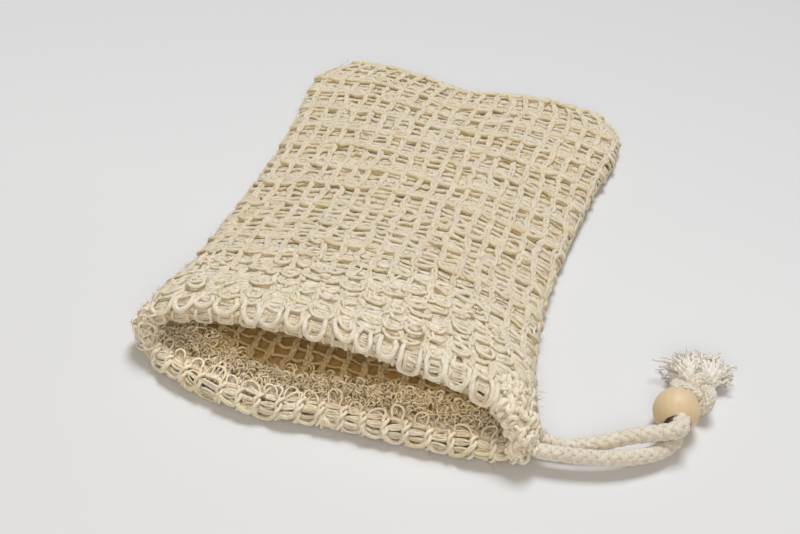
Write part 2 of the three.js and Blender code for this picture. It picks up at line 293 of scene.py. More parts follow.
def place(s, w, out):
    """Points and outward directions on the folded cloth, out above its mid-surface."""
    s, w, out = np.broadcast_arrays(np.asarray(s, float), w, out)
    along, across = unevenness(s, w)
    s = s + along
    w = w + across / (wales_apart(s) * WALES)
    turn = np.clip(-s / FOLD_RADIUS, 0, math.pi)[..., None]
    depth = np.where(s > 0, s, np.maximum(-s - FOLD, 0))
    middle, outward, forward = on_surface(FOLD_AT + depth, w)
    reach = FOLD_RADIUS + out[..., None]
    tilt = reach * np.cos(turn) - FOLD_RADIUS
    point = middle + outward * tilt - forward * reach * np.sin(turn)
    return point, outward * np.cos(turn) - forward * np.sin(turn)


# Materials
class Nodes:
    """A material whose nodes are made and linked by short calls."""

    def __init__(self, name):
        self.material = bpy.data.materials.new(name)
        self.material.use_nodes = True
        self.tree = self.material.node_tree
        self.shader = self.tree.nodes["Principled BSDF"]

    def add(self, kind, inputs=(), **settings):
        node = self.tree.nodes.new("ShaderNode" + kind)
        for key, value in settings.items():
            setattr(node, key, value)
        for key, value in dict(inputs).items():
            self.put(node.inputs[key], value)
        return node

    def put(self, socket, value):
        if isinstance(value, bpy.types.NodeSocket):
            self.tree.links.new(value, socket)
        else:
            socket.default_value = value

    def set(self, **inputs):
        for key, value in inputs.items():
            self.put(self.shader.inputs[key.replace("_", " ")], value)

    def math(self, operation, a, b=0.0):
        return self.add("Math", {0: a, 1: b}, operation=operation).outputs[0]

    def ramp(self, value, *stops):
        node = self.add("ValToRGB", {"Fac": value})
        ramp = node.color_ramp
        while len(ramp.elements) < len(stops):
            ramp.elements.new(0.5)
        for element, (position, colour) in zip(ramp.elements, stops):
            element.position = position
            element.color = (*colour, 1)
        return node.outputs["Color"]

    def mix(self, factor, a, b, blend="MIX"):
        node = self.add("MixRGB", {"Fac": factor, "Color1": a, "Color2": b}, blend_type=blend)
        return node.outputs["Color"]


PLY = 0.4  # how often one of a yarn's two strands comes by in a millimetre
PLY_RELIEF = 0.22  # how high the two strands stand, against the fibres' own height
FIBRE_LENGTH = 2.0  # millimetres
PATCHES = 160.0  # patches of colour in a metre
DARK_FIBRES = (0.72, 0.66, 0.56)
FIBRE_SHARE = 0.75  # how strongly the dark fibres show
DEEP = (0.345, 0.262, 0.118, 1)  # what full painted shade leaves of the colour
WHITE = (1, 1, 1, 1)


def yarn_material(name, colours, fibres, twist, roughness, bump, sheen, spread):
    """Yarn: tint picks its colour, the shade attribute darkens it as painted shade, and
    fine fibres run along it with a little twist.
    """
    m = Nodes(name)
    tint = m.add("Attribute", attribute_name="tint").outputs["Fac"]
    uv = m.add("SeparateXYZ", {0: m.add("UVMap", uv_map="UVMap").outputs[0]})
    u, v = uv.outputs["X"], uv.outputs["Y"]
    angle = m.math("MULTIPLY", m.math("ADD", v, m.math("MULTIPLY", u, twist)), math.tau)
    across = m.math("MULTIPLY", m.math("SINE", angle), fibres)
    up = m.math("MULTIPLY", m.math("COSINE", angle), fibres)
    along = m.math("MULTIPLY", u, 1 / FIBRE_LENGTH)
    around = m.add("CombineXYZ", {0: along, 1: across, 2: up}).outputs[0]
    fibre = m.add("TexNoise", {"Vector": around, "Scale": 1.0, "Detail": 3.0})
    place_3d = m.add("TexCoord").outputs["Object"]
    patches = m.add("TexNoise", {"Vector": place_3d, "Scale": PATCHES, "Detail": 2.0})
    shift = m.math("MULTIPLY", m.math("SUBTRACT", patches.outputs["Fac"], 0.5), spread)
    base = m.ramp(m.math("ADD", tint, shift), *colours)
    lines = m.ramp(fibre.outputs["Fac"], (0.32, DARK_FIBRES), (0.55, WHITE[:3]))
    # the shade attribute is painted shade, which mixes the colour towards DEEP
    shade = m.add("Attribute", attribute_name="shade").outputs["Fac"]
    deep = m.mix(shade, WHITE, DEEP)
    colour = m.mix(1.0, m.mix(FIBRE_SHARE, base, lines, "MULTIPLY"), deep, "MULTIPLY")
    turns = m.math("ADD", m.math("MULTIPLY", v, 2.0), m.math("MULTIPLY", u, PLY))
    ply = m.math("SINE", m.math("MULTIPLY", turns, math.tau))
    relief = m.math("ADD", fibre.outputs["Fac"], m.math("MULTIPLY", ply, PLY_RELIEF))
    height = m.add("Bump", {"Height": relief, "Strength": 1.0, "Distance": bump})
    m.set(Base_Color=colour, Roughness=roughness, Normal=height.outputs[0])
    m.set(Sheen_Weight=sheen, Sheen_Roughness=0.5, Specular_IOR_Level=0.25)
    return m.material


SISAL_COLOURS = (
    (0.0, (1.0, 0.925, 0.775)),
    (0.35, (0.985, 0.88, 0.675)),
    (0.7, (0.92, 0.805, 0.525)),
    (1.0, (0.91, 0.745, 0.45)),
)
COTTON_COLOURS = (
    (0.0, (1.0, 0.955, 0.875)),
    (0.4, (0.93, 0.865, 0.755)),
    (1.0, (0.86, 0.78, 0.66)),
)
SISAL = {"colours": SISAL_COLOURS, "fibres": 2.4, "twist": 0.12, "spread": 0.5}
sisal = yarn_material("sisal_yarn", roughness=0.75, bump=0.00018, sheen=0.25, **SISAL)
curled = yarn_material("curled_yarn", roughness=0.85, bump=0.00012, sheen=0.0, **SISAL)
cotton = yarn_material(
    "cotton_cord", COTTON_COLOURS, fibres=2.6, twist=0.3, roughness=0.85, bump=0.00008,
    sheen=0.4, spread=0.4,
)

# Yarns as tubes
LUMPY = 0.1  # how much a yarn's thickness varies along it
TEXTURE_LENGTH = 50  # yarns start anywhere in this length of the fibres' pattern


def faces(corners, sides, uv):
    """The corners, sizes and places in the texture of faces that have as many sides."""
    return corners.reshape(-1), np.full(corners.size // sides, sides), uv.reshape(-1, 2)


class Strands:
    """Tubes that become one mesh. Each has a tint and a shade, from 0 to 1, that its
    material reads. The shade is painted shade; under_shade is how much painted shade its
    inner side gets, and its inner side and one flank can get a browner tint, as painted shade."""

    def __init__(self):
        self.points, self.quads, self.caps, self.tints, self.shades = [], [], [], [], []
        self.count = 0

    def add(
        self, points, normals, radius, tint=0.5, shade=0.0, under_shade=0.0, flat=1.0, sides=6,
        under_shade_tint=0.0, flank_shade_tint=0.0,
    ):
        """points and normals are (tubes, places, 3); radius, tint and flat fit them."""
        n, m = points.shape[:2]
        lumps = 1 + LUMPY * smoothed(random.normal(size=(n, m)))
        radius = (np.broadcast_to(radius, (n, m)) * lumps)[..., None, None]
        flat = np.broadcast_to(flat, (n, m))[..., None, None]
        tangent = unit(np.gradient(points, axis=1))
        side = unit(np.cross(tangent, normals))
        up = np.cross(side, tangent)
        angle = np.arange(sides) * math.tau / sides
        ring = side[:, :, None] * np.cos(angle)[:, None] * radius
        ring = ring + up[:, :, None] * np.sin(angle)[:, None] * radius * flat
        index = np.arange(n * m * sides).reshape(n, m, sides) + self.count
        here, after = index[:, :-1], index[:, 1:]
        quads = [here, after, np.roll(after, -1, 2), np.roll(here, -1, 2)]
        length = way_along(points) + random.random((n, 1)) * TEXTURE_LENGTH
        u0, u1 = length[:, :-1, None] + 0 * angle, length[:, 1:, None] + 0 * angle
        v0 = np.arange(sides) / sides + 0 * u0
        v1 = v0 + 1 / sides
        corners = [np.stack(c, -1) for c in ((u0, v0), (u1, v0), (u1, v1), (u0, v1))]
        self.quads.append(faces(np.stack(quads, -1), 4, np.stack(corners, 3)))
        caps = np.concatenate([index[:, 0], index[:, -1, ::-1]])
        u = np.repeat(length[:, [0, -1]].T.reshape(-1), sides)
        self.caps.append(faces(caps, sides, np.stack([u, 0.5 + 0 * u], 1)))
        self.points.append((points[:, :, None] + ring).reshape(-1, 3))
        # painted shade: the inner side gets more shade and a browner tint, and one flank a browner
        # tint
        inner, edge = 0.5 - 0.5 * np.sin(angle), np.maximum(np.cos(angle), 0)
        for kept, value, at_inner, at_flank in (
            (self.tints, tint, under_shade_tint, flank_shade_tint),
            (self.shades, shade, under_shade, 0),
        ):
            value = np.broadcast_to(np.clip(value, 0, 1), (n, m))[..., None]
            value = value + at_inner * inner + at_flank * edge
            kept.append(np.clip(value, 0, 1).reshape(-1))
        self.count += n * m * sides

    def build(self, name, material=sisal, slot="sisal"):
        """One piece from all tubes, which stays above the surface that it lies on."""
        points = np.concatenate(self.points)
        points[:, 2] = np.maximum(points[:, 2], 0.0)
        corners, sizes, uv = (np.concatenate(each) for each in zip(*self.quads, *self.caps))
        mesh = bpy.data.meshes.new(name)
        mesh.vertices.add(len(points))
        mesh.vertices.foreach_set("co", in_model(points).reshape(-1))
        mesh.loops.add(len(corners))
        mesh.loops.foreach_set("vertex_index", corners.astype(np.int32))
        mesh.polygons.add(len(sizes))
        starts = np.append(0, sizes.cumsum()[:-1])
        mesh.polygons.foreach_set("loop_start", starts.astype(np.int32))
        mesh.uv_layers.new(name="UVMap").data.foreach_set("uv", uv.reshape(-1))
        set_attributes(mesh, tint=np.concatenate(self.tints), shade=np.concatenate(self.shades))
        mesh.update(calc_edges=True)
        mesh.validate()
        return as_piece(name, mesh, material)


# The lattice of the knit: wales run along the pouch, and courses of yarn cross them.
# A profile holds distances from the rim, and the values there. The makers of yarns return
# what Strands.add takes: points, normals, radius and tint. Their yarn is the radius, and
# sag, bulge, top, bottom and depth are millimetres.
COURSE_GAPS = (10, 45), (1.45, 2.25)


def value_at(profile, s):
    return float(np.interp(s, *profile))


def courses_on_body():
    """Distances of the crossing yarns from the rim, and which of them are thick."""
    places, thick = [], []
    stops = [s - FOLD_AT for s in ROWS] + [LENGTH - FOLD_AT - 0.4]
    for here, after in zip(stops, stops[1:]):
        gaps = max(2, round((after - here) / value_at(COURSE_GAPS, here)))
        places += list(np.linspace(here, after, gaps, endpoint=False))
        thick += [True] + [False] * (gaps - 1)
    return np.array(places + [stops[-1]]), np.array(thick + [True])


RIM_COURSES = np.array([-7.2, -5.2, -3.2, -1.2, 0.2, 1.4, 2.6, 3.8])
RIM_TOP = 4.6
BODY, THICK = courses_on_body()
COURSES = np.concatenate([RIM_COURSES, BODY])
THICK = np.concatenate([np.zeros(len(RIM_COURSES), bool), THICK])


def wander(amount, passes):
    """Unevenness over the lattice that is smooth along each wale."""
    noise = random.normal(size=(WALES, len(COURSES)))
    for _ in range(passes):
        noise = smoothed(noise)
    return amount * (noise / noise.std())


DRIFT = wander(0.35, 3)  # of each wale across, in millimetres
SLIP = wander(0.25, 1)  # of each crossing along the cloth
PITCH = wales_apart(COURSES)
KNOT_S = COURSES + SLIP
KNOT_W = (np.arange(WALES)[:, None] + DRIFT / PITCH) / WALES


def crossing(wale, course):
    """s and w of crossings; the wales go on around the pouch."""
    turns = wale // WALES
    k = wale % WALES
    return KNOT_S[k, course], KNOT_W[k, course] + turns


def cell_sides(cells, course):
    """s and w of the crossings at both sides of each cell, as columns."""
    ends = *crossing(cells, course), *crossing(cells + 1, course)
    return [end[:, None] for end in ends]


def chain(wales, courses, yarn=0.6, wide=0.52, places=13, lift=1.0, inside=False):
    """A chain of loops along each wale: each rises through the one before it, and its two
    legs lie side by side on the outside."""
    s, w = crossing(wales[:, None], courses[None, :])
    n = s[:, 1:].size
    theta = np.linspace(0, math.tau, places)
    reach = 0.5 - 0.5 * np.cos(theta)
    grow = -0.22 + 1.5 * reach + varied(n, 0, 0.08) * reach
    wide = wide * varied(n, 1, 0.14)
    aside = wide * np.sin(theta) * np.sin(theta / 2) ** 0.5
    aside = aside + varied(n, 0, 0.14) + varied(n, 0, 0.22) * reach
    ends = s[:, :-1], w[:, :-1], s[:, 1:], w[:, 1:]
    s0, w0, s1, w1 = (end.reshape(n, 1) for end in ends)
    pitch = np.broadcast_to(PITCH[courses[:-1]], s[:, 1:].shape).reshape(n, 1)
    across = w0 + (w1 - w0) * grow + aside / pitch / WALES
    out = lift * (-0.05 + 0.12 * reach + 0.7 * np.sin(theta) ** 2)
    if inside:
        out = -1.0 - out
    points, normals = place(s0 + (s1 - s0) * grow, across, out)
    radius = yarn * varied(n, 1, 0.1)
    return points, normals, radius, varied(n, 0.12, 0.1)


CELL = 7  # places along a yarn in one cell of the lattice


def rungs(cells, courses, yarn, sag, bulge, tint, places=CELL, depth=0.3, swell=0.1):
    """The yarns of some courses, across each cell from one wale to the next."""
    cells, courses = np.meshgrid(cells, courses)
    cells, courses = cells.reshape(-1), courses.reshape(-1)
    s0, w0, s1, w1 = cell_sides(cells, courses)
    u = np.linspace(-0.06, 1.06, places)
    bow = 1 - (2 * u - 1) ** 2
    n = len(cells)
    uneven = varied(n, 1, 0.45)
    tilt = varied(n, 0, 0.3) * (2 * u - 1)
    s = s0 + (s1 - s0) * u - sag * uneven * bow + tilt
    out = -depth + bulge * varied(n, 1, 0.35) * bow
    points, normals = place(s, w0 + (w1 - w0) * u, out)
    radius = yarn * varied(n, 1, 0.14) * (1 + swell * (1 - bow))
    return points, normals, radius, varied(n, tint, 0.12)


def garland(cells, top, depth, yarn, bulge, tint, places):
    """Slack loops, one in each cell, that hang from two wales towards the mouth."""
    n = len(cells)
    course = int(np.abs(COURSES - top).argmin())
    s0, w0, s1, w1 = cell_sides(cells, course)
    theta = np.linspace(0.0, math.pi, places)
    u = 0.5 - 0.5 * np.sign(np.cos(theta)) * np.abs(np.cos(theta)) ** 0.8
    drop = depth * varied(n, 1, 0.2)
    skew = varied(n, 0, 0.25) * np.cos(theta)
    hang = np.sin(theta) ** 0.7
    level = s0 * (1 - u) + s1 * u + (top - COURSES[course])
    s = level - drop * (hang + skew * hang)
    lean = varied(n, 0, 0.3) / wales_apart(top) / WALES
    out = bulge * hang - 0.45 * (1 - hang) + varied(n, 0, 0.15) * hang
    points, normals = place(s, w0 + (w1 - w0) * u + lean * hang, out)
    radius = yarn * varied(n, 1, 0.12) * (0.8 + 0.25 * hang)
    return points, normals, radius, varied(n, tint, 0.14)


def loops(cells, top, bottom, half, yarn, bulge, tint, uneven=1.0):
    """U-shaped loops, one in each cell, with both legs tucked in at the top."""
    n = len(cells)
    course = int(np.abs(COURSES - top).argmin())
    s0, w0, s1, w1 = cell_sides(cells, course)
    level = (s0 + s1) / 2 + top - COURSES[course]
    leg = np.linspace(0, 1, 5)[:-1]
    theta = np.linspace(0, math.pi, 9)
    half = half * varied(n, 1, 0.06 * uneven)
    reach = (level - bottom) * varied(n, 1, 0.06 * uneven)
    pinch = 1 - 0.35 * (1 - leg) ** 2
    across = np.concatenate([-half * pinch, -half * np.cos(theta), (half * pinch)[:, ::-1]], 1)
    straight = np.maximum(reach - half, 0.2)
    legs = straight * leg
    drop = np.concatenate([legs, straight + half * np.sin(theta), legs[:, ::-1]], 1)
    hang = drop / reach
    lean = varied(n, 0, 0.25 * uneven) * hang
    w = (w0 + w1) / 2 + (across + lean) / wales_apart(top) / WALES
    out = bulge * np.clip(hang * 3, 0, 1) - 0.5 * np.clip(1 - hang * 4, 0, 1)
    out = out * varied(n, 1, 0.12 * uneven)
    points, normals = place(level - drop, w, out)
    radius = yarn * varied(n, 1, 0.06) * (0.86 + 0.18 * hang)
    return points, normals, radius, varied(n, tint, 0.08)


UPPER = np.arange(0, 20)
LOWER = np.arange(20, 40)
body_courses = np.arange(len(RIM_COURSES), len(COURSES))
thin_courses = body_courses[~THICK[body_courses]]
thick_courses = body_courses[THICK[body_courses]]

# Painted shade: how much darker some yarns are painted. It grows with the distance from
# the rim, towards the closed end; it darkens the yarns behind the slits; and it darkens
# the yarns' inner side, which on the lower layer is light under the tangle and dark
# beyond it, as far in as the mouth shows
PAINTED_FAR_SHADE = (15, 50), (0.0, 0.17)
PAINTED_SLIT_SHADE = (30, 60), (0.36, 0.2)
UNDER = 0.14
LOWER_INSIDE = (8, 11, 42, 46), (0.0, 0.95, 0.95, UNDER)

# The upper layer's thin crossing yarns are loose fibres up to LOOSE_END. Beyond it, and
# on the lower layer, they are single yarns
LOOSE_END = 40
LOOSE_FIBRE = 0.32
LOOSE_SAGS = -0.1, 0.35, 0.8
UPPER_YARN = (10, 45, 70, 95), (0.72, 0.66, 0.58, 0.52)
LOWER_YARN = (10, 45, 70, 95), (0.72, 0.7, 0.66, 0.6)


def inner_shade(cells, s):
    return value_at(LOWER_INSIDE, s) if cells[0] == LOWER[0] else UNDER


def net(cells, sides, places):
    """The thin crossing yarns of one layer. Near the mouth their fibres lie loose."""
    strands = Strands()
    upper = cells[0] == UPPER[0]
    swell = 0.55 if upper else 0.35
    for course in thin_courses:
        s = COURSES[course]
        # painted shade and a browner tint on the yarns' inner side
        more = {"under_shade_tint": 0.5, "under_shade": inner_shade(cells, s)}
        if upper and s < LOOSE_END:
            for sag in LOOSE_SAGS:
                made = rungs(cells, [course], LOOSE_FIBRE, sag, 0.3, 0.08, places - 1, swell=0.3)
                strands.add(*made, flat=1, sides=4, **more)
        else:
            yarn = value_at(UPPER_YARN if upper else LOWER_YARN, s)
            made = rungs(cells, [course], yarn, 0.35, 0.3, 0.1, places, swell=swell)
            # painted shade towards the closed end, and a browner tint on the flank that faces the
            # mouth
            dark = value_at(PAINTED_FAR_SHADE, s)
            strands.add(*made, dark, flat=0.75, sides=sides, flank_shade_tint=0.15, **more)
    return strands


def behind(cells, sides):
    """Yarns of one layer that lie behind the slits between the crossing ones; their painted
    shade darkens the slits.
    """
    strands = Strands()
    for course, after in zip(body_courses, body_courses[1:]):
        s = COURSES[course]
        gap = COURSES[after] - s
        made = rungs(cells, [course], 0.44 * gap, -0.5 * gap, 0, 0.35, 5, depth=0.62)
        strands.add(*made, value_at(PAINTED_SLIT_SHADE, s), inner_shade(cells, s), 0.55, sides, 0.5)
    return strands


# The ground is a grid with painted shade. The lower layer's is browner and darker, as
# painted shade, darkest where it shows deep in the mouth, and it rises under the tangle
GROUND_ROWS, GROUND_COLUMNS = 72, 61
GROUND_ROUGH = 0.1
UPPER_GROUND = (25, 60), (0.65, 0.28)
LOWER_GROUND = (8.5, 12, 42, 46), (0.35, 1.0, 1.0, 0.8)
TANGLE_GROUND = (10, 13), (0.45, 0.0)
GROUND_TINTS = 0.4, 1.0


def ground(first, last, out, name):
    """One thin sheet under the yarns of one layer: flattened fibres, and painted shade that
    darkens the slits and the mouth's inside.
    """
    grid = GROUND_ROWS, GROUND_COLUMNS
    s = np.linspace(2.0, LENGTH - FOLD_AT - 0.5, GROUND_ROWS)[:, None]
    w = np.linspace(first, last, GROUND_COLUMNS)[None, :]
    lower = w > 0.5
    raised = np.where(lower, np.interp(s, *TANGLE_GROUND), 0.0)
    points, _ = place(s, w, out - raised + GROUND_ROUGH * random.normal(size=grid))
    index = np.arange(s.size * w.size).reshape(grid)
    quads = np.stack([index[:-1, :-1], index[:-1, 1:], index[1:, 1:], index[1:, :-1]], -1)
    quads = quads.reshape(-1, 4)
    mesh = bpy.data.meshes.new(name)
    mesh.from_pydata(in_model(points.reshape(-1, 3)).tolist(), [], quads.tolist())
    uv = np.stack([s + 0 * w, w * WALES * 0.8 + 0 * s], -1).reshape(-1, 2)
    mesh.uv_layers.new(name="UVMap").data.foreach_set("uv", uv[quads.reshape(-1)].reshape(-1))
    # painted shade, darkest deep in the mouth, and a browner tint on the lower layer
    shade = np.where(lower, np.interp(s, *LOWER_GROUND), np.interp(s, *UPPER_GROUND))
    upper_tint, lower_tint = GROUND_TINTS
    set_attributes(mesh, tint=np.where(lower, lower_tint, upper_tint) + 0 * shade, shade=shade)
    return as_piece(name, mesh, sisal)


# The slack loops of the thick rows. Up to FLAT_END they lie flat, as open U shapes, but
# for those at the side folds and a share that is left out
FLAT_END = 33
LEFT_OUT = 0.14
LOOP_DEPTH = (5, 30, 60, 100), (3.5, 3.4, 2.6, 1.9)
LOOP_YARN = (5, 30, 60, 90), (0.57, 0.64, 0.85, 0.95)
LOOP_BULGE = (35, 60), (0.7, 0.5)


def bands(cells, sides, places):
    """The thick rows of one layer: slack loops, and the yarns that fill them."""
    strands = Strands()
    in_loop = 2 * places - 3

    def put(made, flank_shade_tint, flat):
        # painted shade towards the closed end and on the inner side, and a browner tint on the
        # flank that faces the mouth
        dark, deep = value_at(PAINTED_FAR_SHADE, s), inner_shade(cells, s)
        strands.add(*made, dark, deep, flat, sides, 0.5, flank_shade_tint)

    for course in thick_courses:
        s = COURSES[course]
        depth = value_at(LOOP_DEPTH, s)
        yarn = value_at(LOOP_YARN, s)
        if s < FLAT_END:
            half = 0.4 * float(wales_apart(s))
            flat_part = (cells < 17) & (cells > 0)
            kept = cells[flat_part & (random.random(len(cells)) > LEFT_OUT)]
            if len(kept):
                put(loops(kept, s + 0.2, s - 3.5, half, yarn, 0.6, 0.08, 3.6), 0.25, 0.7)
            put(garland(cells[~flat_part], s, 1.8, 0.5, 0.6, 0.1, in_loop), 0.3, 0.8)
        else:
            bulge = value_at(LOOP_BULGE, s)
            put(garland(cells, s, depth, yarn, bulge, 0.1, in_loop), 0.5, 0.7)
        for sag, wide in ((0.0, 0.78), (0.5 * depth, 0.82), (-1.1, 0.8)):
            if sag >= 0 or s > 60:
                put(rungs(cells, [course], wide, sag, 0.35, 0.05, places), 0.2, 0.65)
    return strands


# The wales stand a little further out towards the closed end: from, to, how far
WALE_LIFTS = (0, 35, 0.4), (35, 60, 0.42), (60, 140, 0.46)


def chains(wales, sides):
    """The wales of one layer, and on the lower one what shows of its inner side."""
    strands = Strands()
    order = np.arange(len(RIM_COURSES) - 2, len(COURSES))
    for low, high, lift in WALE_LIFTS:
        part = order[(COURSES[order] >= low) & (COURSES[order] < high)]
        if low:
            part = np.append(part[0] - 1, part)
        made = chain(wales, part, places=2 * sides - (sides == 4), lift=lift)
        # painted shade towards the closed end and on the inner side
        strands.add(*made, value_at(PAINTED_FAR_SHADE, high), UNDER, 0.85, sides, 0.6, 0.15)
    if wales[0] == LOWER[0]:
        seen = order[(COURSES[order] > 7) & (COURSES[order] < 42)]
        # painted shade on the lower layer's inner side deep in the mouth, darker and browner
        points, normals, radius, tint = chain(wales, seen, 0.5, 0.5, places=9, inside=True)
        strands.add(points, normals, radius, np.maximum(tint, 0) + 0.6, 0.72, 0, 0.85, 4)
        made = rungs(wales, seen[1::2], 0.5, 0.2, 0, 0.6, 5, depth=1.3)
        strands.add(*made, 0.8, 0, 0.8, 4)
    return strands


knit_upper = net(UPPER, 6, CELL).build("knit_upper")
knit_lower = net(LOWER, 5, CELL - 1).build("knit_lower")
filling_upper = behind(UPPER, 4).build("filling_upper")
ground_upper = ground(0.0, 0.5, -0.42, "ground_upper")
ground_lower = ground(0.5, 1.0, -0.75, "ground_lower")
bands_upper = bands(UPPER, 5, CELL).build("bands_upper")
bands_lower = bands(LOWER, 4, CELL - 2).build("bands_lower")
chains_upper = chains(UPPER, 5).build("chains_upper")
chains_lower = chains(LOWER, 4).build("chains_lower")


def twisted(wales, courses, width, out, places):
    """Two yarns twisted about each other along each wale, with a crossing at each course."""
    wales = wales[:, None]
    s, w = crossing(wales, courses[None, :])
    row = np.linspace(0, len(courses) - 1, places * (len(courses) - 1) + 1)
    low = np.minimum(row.astype(int), len(courses) - 2)
    part = row - low
    along = s[:, low] * (1 - part) + s[:, low + 1] * part
    across = w[:, low] * (1 - part) + w[:, low + 1] * part
    pitch = wales_apart(along) * WALES
    for turn in (0, math.pi):
        phase = math.pi * row + turn + 0.3 * wales
        sideways = across + width * np.cos(phase) / pitch
        yield place(along, sideways, out + 0.4 * np.sin(phase))


def hem():
    """The hem's rim of large loops, its yarns inside, and the loops at its inner edge."""
    strands = Strands()
    every = np.arange(WALES)
    outer, inner = np.arange(3, len(RIM_COURSES)), np.arange(0, 3)

    # painted shade: the yarns' inner side is darker and browner, and the rows under or inside the
    # rim get more shade
    def put(made, shade=0.0, **more):
        more = {"flat": 0.88, "sides": 6, "under_shade": 0.25, "under_shade_tint": 0.4, **more}
        strands.add(*made, shade, **more)

    put(loops(UPPER[:6], RIM_TOP + 0.2, -1.9, 2.0, 0.68, 0.6, 0.06, 2.0), sides=7)
    put(loops(UPPER[6:17], RIM_TOP, -3.1, 2.05, 0.68, 0.65, 0.04, 2.0), sides=7)
    put(loops(UPPER[:7], -0.4, -4.6, 1.65, 0.55, 0.35, 0.25), shade=0.1)
    put(loops(UPPER[7:], 0.4, -5.8, 1.6, 0.55, 0.25, 0.3), shade=0.1)
    put(garland(LOWER, RIM_TOP, 5.4, 0.6, 0.35, 0.3, 17))
    put(garland(LOWER, -4.9, -2.5, 0.55, 0.9, 0.35, 13), flat=0.9)
    put(rungs(UPPER, outer, 0.6, 0.4, -0.3, 0.3, 5), shade=0.2, sides=5)
    for sag in (-0.1, 0.3, 0.7):
        put(rungs(UPPER, outer, 0.3, sag, 0.25, 0.1, 6), sides=4)
    put(rungs(LOWER, outer, 0.55, 0.35, 0.15, 0.15, 5), sides=5)
    put(rungs(every, inner, 0.6, 0, 0.0, 0.35, 5), shade=0.25, sides=5)
    for sag in (-0.75, -0.3, 0.15, 0.6):
        put(rungs(every, inner, 0.32, sag, 0.4, 0.15, 6), sides=4)
    kept = every[random.random(WALES) > 0.25]
    put(loops(kept, -6.6, -9.7, 1.8, 0.3, 0.8, 0.3, 3.2), sides=5)
    kept = every[random.random(WALES) > 0.6]
    put(loops(kept, -6.4, -9.2, 1.6, 0.26, 1.1, 0.35, 5), sides=5)
    for points, normals in twisted(LOWER, np.arange(5, -1, -1), 0.62, 0.45, 7):
        tint = 0.12 + 0.12 * random.random(len(points))[:, None]
        put((points, normals, 0.48, tint))
    return strands


hem_loops = hem().build("hem_loops")


# The tangle of small curls in the mouth, and the hairs of the whole pouch
def any_direction(n):
    return unit(random.normal(size=(n, 3)))


def curls(
    strands, s, w, size, out, yarn, tint, places=11, sides=4, laid=0.0, most=6.2, shade=0.0
):
    """Curled ends of yarn: open rings that stand every way, or are laid on the cloth."""
    n = len(s)
    centre, normal = place(s, w, out)
    a, b = any_direction(n), any_direction(n)
    a = unit(a - laid * (a * normal).sum(1, keepdims=True) * normal)
    b = b - laid * (b * normal).sum(1, keepdims=True) * normal
    b = unit(b - a * (a * b).sum(1, keepdims=True))
    start = random.uniform(0, math.tau, (n, 1))
    turn = start + np.linspace(0, 1, places) * random.uniform(0.42 * most, most, (n, 1))
    drift = np.linspace(-0.5, 0.5, places)[None, :, None] * any_direction(n)[:, None] * 0.9
    ring = np.cos(turn)[..., None] * a[:, None] + np.sin(turn)[..., None] * b[:, None]
    points = centre[:, None] + ring * size[:, None, None] + drift
    normals = np.cross(a, b)[:, None] + 0 * points
    tints = varied(n, tint, 0.15)
    strands.add(points, normals, yarn * random.uniform(0.7, 1.2, (n, 1)), tints, shade, sides=sides)


def scatter(n, *spans):
    return [random.uniform(*span, n) for span in spans]


def tangle():
    """The curls behind the lower layer's lip, on the hem and at its corners."""
    strands = Strands()
    # behind the lip, as far in as end says; those close to the cloth get painted shade, browner and
    # darker
    n = 1380
    w = random.uniform(0.5, 0.985, n)
    end = np.interp(w, [0.5, 0.68, 0.8, 0.84, 0.9], [14, 13.5, 11, 10.5, 15.5])
    s = 3.5 + (end - 3.5) * random.random(n)
    out = -random.uniform(1.0, 2.3, n) * np.clip((end + 1.5 - s) / 4, 0.6, 1)
    size = random.uniform(0.6, 1.2, n)
    tint = np.interp(-out, [0.7, 1.9], [1.0, 0.35])[:, None]
    deep = np.interp(-out, [0.8, 1.6], [0.5, 0.0])[:, None]
    curls(strands, s, w, size, out, 0.29, tint, places=9, sides=3, laid=0.7, shade=deep)
    # at the hem's inner edge
    s, w, size, out = scatter(700, (8.6, 14), (0.5, 0.985), (0.5, 1.1), (-0.8, 0.5))
    curls(strands, -s, w, size, out, 0.22, 0.35, places=9, sides=3, laid=0.4)
    # at the left corner
    n = 130
    s = random.uniform(-5.5, 5, n)
    w = random.normal(0.998, 0.014, n)
    size, out = scatter(n, (0.8, 1.7), (0, 0.9))
    curls(strands, s, w, size, out, 0.38, 0.05)
    # at the right corner
    s, w, size, out = scatter(120, (-5.5, 7), (0.41, 0.495), (0.65, 1.25), (0.2, 0.8))
    curls(strands, s, w, size, out, 0.6, 0, places=10, sides=5, laid=0.5)
    # slack ends on the upper layer
    s, w, size, out = scatter(60, (5, 34), (0.03, 0.47), (1.4, 2.2), (0.4, 0.7))
    curls(strands, s, w, size, out, 0.46, 0.05, places=9, laid=0.95, most=3.6)
    return strands


mouth_tangle = tangle().build("mouth_tangle", curled)


def hairs(n):
    """Fine loose fibres that stand off the knit."""
    strands = Strands()
    near = random.random(n) < 0.42
    s = np.where(near, random.uniform(-8, 14, n), random.uniform(0, 130, n))
    w = np.where(random.random(n) < 0.75, random.uniform(-0.02, 0.5, n), random.random(n))
    w = np.where(near, random.random(n), w)
    root, normal = place(s, w, random.uniform(0.4, 1.1, n))
    length = random.uniform(0.6, 1.8, (n, 1, 1))
    flow = unit(any_direction(n) + 0.3 * normal)[:, None]
    bend = any_direction(n)[:, None] * 0.45
    t = np.linspace(0, 1, 3)[None, :, None]
    points = root[:, None] + length * (flow * t + bend * t * t)
    normals = np.cross(flow, any_direction(n)[:, None]) + 0 * points
    width = 0.05 * random.uniform(0.7, 1.3, (n, 1)) * (1 - 0.6 * t[:, :, 0])
    strands.add(points, normals, width, 0.2 + 0.3 * random.random((n, 1)), sides=3)
    return strands


fuzz = hairs(4600).build("fuzz")


